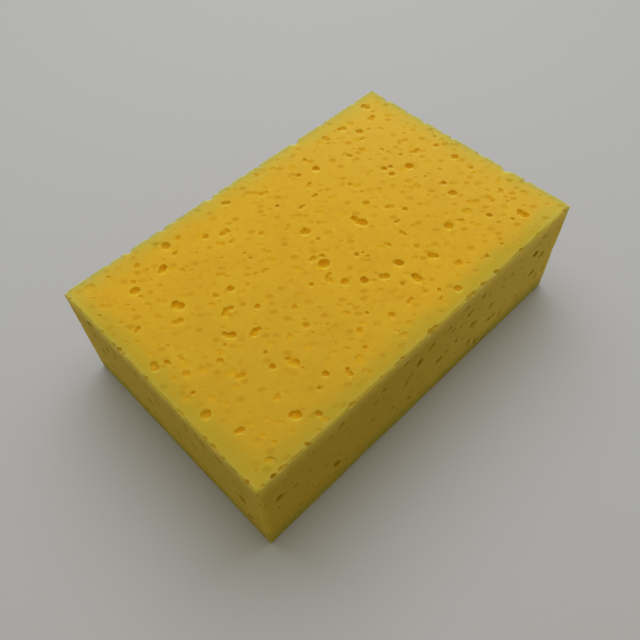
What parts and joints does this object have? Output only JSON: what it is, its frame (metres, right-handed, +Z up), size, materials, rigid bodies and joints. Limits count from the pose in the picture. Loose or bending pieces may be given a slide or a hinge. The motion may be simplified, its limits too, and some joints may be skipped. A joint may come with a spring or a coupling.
{
  "type": "cleaning sponge",
  "caption": "Rectangular block of yellow open-celled foam, pitted on every face with round and run-together pores and nicked along its worn edges.",
  "frame": {"origin": "middle of the face that the block rests on", "axes": "+X along the length, +Y along the width, +Z up through the height"},
  "size_m": [0.17, 0.11, 0.052],
  "materials": {
    "foam": "dull golden-yellow cut foam, greener along the edges, deeper orange inside the pores"
  },
  "bodies": {
    "root": {"sponge_block": "foam"}
  },
  "joints": []
}
